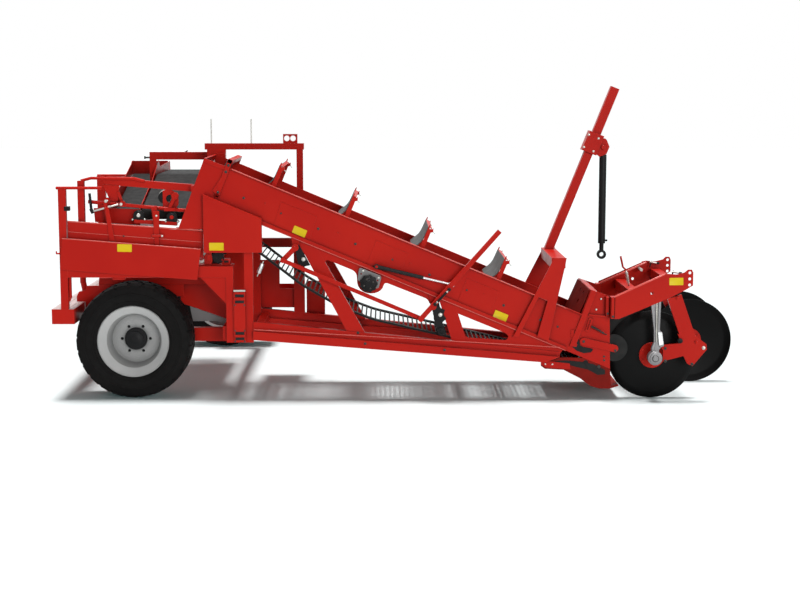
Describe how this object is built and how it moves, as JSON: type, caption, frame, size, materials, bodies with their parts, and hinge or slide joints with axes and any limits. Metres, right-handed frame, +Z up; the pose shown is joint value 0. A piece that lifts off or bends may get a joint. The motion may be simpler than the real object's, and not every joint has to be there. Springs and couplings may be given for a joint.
{
  "type": "potato harvester",
  "caption": "Trailed offset potato harvester: sloping rod-web elevator, picking table with cross belts, rear platform, mast with lift cylinder, coulter discs, two flotation wheels.",
  "frame": {"origin": "on the ground, under the middle of the machine's bounding box", "axes": "+X forward to the digging end, +Y from the elevator side to the far wheel, +Z up"},
  "size_m": [6.046, 3.4, 2.7004],
  "materials": {
    "red_paint": "glossy enamel",
    "black_paint": "satin",
    "rim_paint": "satin",
    "tyre": "matt",
    "belt": "matt",
    "web_steel": "satin",
    "disc_steel": "satin",
    "cast_steel": "zinc plated",
    "zinc": "zinc plated",
    "chrome": "hard chrome"
  },
  "bodies": {
    "root": {"axle_beam": "red_paint", "belt_rollers": "black_paint", "cross_belts": "belt", "cross_conveyor_sides": "red_paint", "disc_arm_lead": "red_paint", "disc_arm_near": "red_paint", "disc_arm_outer": "red_paint", "disc_leg_near": "cast_steel", "drive_motor": "black_paint", "elevator_cross_beams": "red_paint", "elevator_legs": "red_paint", "elevator_side_far": "red_paint", "elevator_side_near": "red_paint", "flap_frames": "red_paint", "flap_rubbers": "belt", "gauge_arm": "red_paint", "head_cover": "red_paint", "head_guard": "red_paint", "hitch_arm_far": "red_paint", "hitch_arm_near": "red_paint", "hitch_cross_tubes": "red_paint", "hitch_pins": "zinc", "intake_frame": "red_paint", "intake_share": "red_paint", "linkage_lugs": "zinc", "main_rail_far": "red_paint", "main_rail_near": "red_paint", "marker_rods": "zinc", "mast": "red_paint", "mast_bridge": "red_paint", "mast_clamp": "red_paint", "picking_frame": "red_paint", "picking_panel": "red_paint", "picking_side": "red_paint", "platform_deck": "red_paint", "platform_railing": "red_paint", "rail_cross_members": "red_paint", "rear_frame_far": "red_paint", "rear_frame_near": "red_paint", "rod_web": "web_steel", "roof_frame": "red_paint", "sheet_hoppers": "red_paint", "table_bearings": "black_paint", "table_drum": "black_paint", "web_rollers": "black_paint"},
    "wheel_near": {"tyre_near": "tyre", "rim_near": "rim_paint"},
    "wheel_far": {"tyre_far": "tyre", "rim_far": "rim_paint"},
    "disc_near": {"disc_near": "disc_steel"},
    "disc_lead": {"disc_lead": "disc_steel"},
    "disc_outer": {"disc_outer": "disc_steel"},
    "gauge_roller": {"gauge_roller": "belt"},
    "lift_barrel": {"lift_barrel": "black_paint"},
    "lift_rod": {"lift_rod": "chrome"},
    "control_lever": {"control_lever": "red_paint"},
    "control_tie_bar": {"control_tie_bar": "red_paint"},
    "control_crank": {"control_crank": "red_paint"},
    "control_barrel": {"control_barrel": "black_paint"},
    "control_rod": {"control_rod": "chrome"}
  },
  "joints": [
    {"name": "wheel_near_spin", "type": "hinge", "parent": "root", "child": "wheel_near", "pos_m": [-2.34, -1.307, 0.505], "axis": [0, 1, 0], "continuous": true},
    {"name": "wheel_far_spin", "type": "hinge", "parent": "root", "child": "wheel_far", "pos_m": [-1.846, 1.5, 0.505], "axis": [0, 1, 0], "continuous": true},
    {"name": "disc_near_spin", "type": "hinge", "parent": "root", "child": "disc_near", "pos_m": [2.157, -1.493, 0.383], "axis": [0, 1, 0], "continuous": true},
    {"name": "disc_lead_spin", "type": "hinge", "parent": "root", "child": "disc_lead", "pos_m": [2.64, -0.658, 0.383], "axis": [0, 1, 0], "continuous": true},
    {"name": "disc_outer_spin", "type": "hinge", "parent": "root", "child": "disc_outer", "pos_m": [2.64, -0.07, 0.383], "axis": [0, 1, 0], "continuous": true},
    {"name": "gauge_roller_spin", "type": "hinge", "parent": "root", "child": "gauge_roller", "pos_m": [1.823, -1.536, 0.451], "axis": [0, 1, 0], "continuous": true},
    {"name": "lift_swing", "type": "hinge", "parent": "root", "child": "lift_barrel", "pos_m": [1.802, -0.79, 2.15], "axis": [0, -1, 0], "range_deg": [-8, 40]},
    {"name": "lift_extend", "type": "slide", "parent": "lift_barrel", "child": "lift_rod", "axis": [0, 0, -1], "range_m": [0, 0.55]},
    {"name": "control_swing", "type": "hinge", "parent": "root", "child": "control_lever", "pos_m": [0.252, -1.664, 0.831], "axis": [0, -1, 0], "range_deg": [0, 20]},
    {"name": "control_tie_turn", "type": "hinge", "parent": "control_lever", "child": "control_tie_bar", "pos_m": [0.148, -1.618, 0.724], "axis": [0, -1, 0], "range_deg": [-20.5, 0.5]},
    {"name": "control_crank_turn", "type": "hinge", "parent": "root", "child": "control_crank", "pos_m": [-0.925, -1.6, 1.331], "axis": [0, -1, 0], "range_deg": [-0.5, 20.5]},
    {"name": "control_barrel_swing", "type": "hinge", "parent": "root", "child": "control_barrel", "pos_m": [-0.23, -1.598, 1.169], "axis": [0, -1, 0], "range_deg": [-0.5, 3.5]},
    {"name": "control_rod_slide", "type": "slide", "parent": "control_barrel", "child": "control_rod", "axis": [0.9719, 0, -0.2354], "range_m": [-0.09, 0.005]}
  ],
  "couplings": [
    {"joint": "control_tie_turn", "follows": "control_swing", "ratio": -1},
    {"joint": "control_crank_turn", "follows": "control_swing", "ratio": 1},
    {"joint": "control_barrel_swing", "follows": "control_swing", "ratio": 0.132},
    {"joint": "control_rod_slide", "follows": "control_swing", "m_per_rad": -0.227}
  ]
}
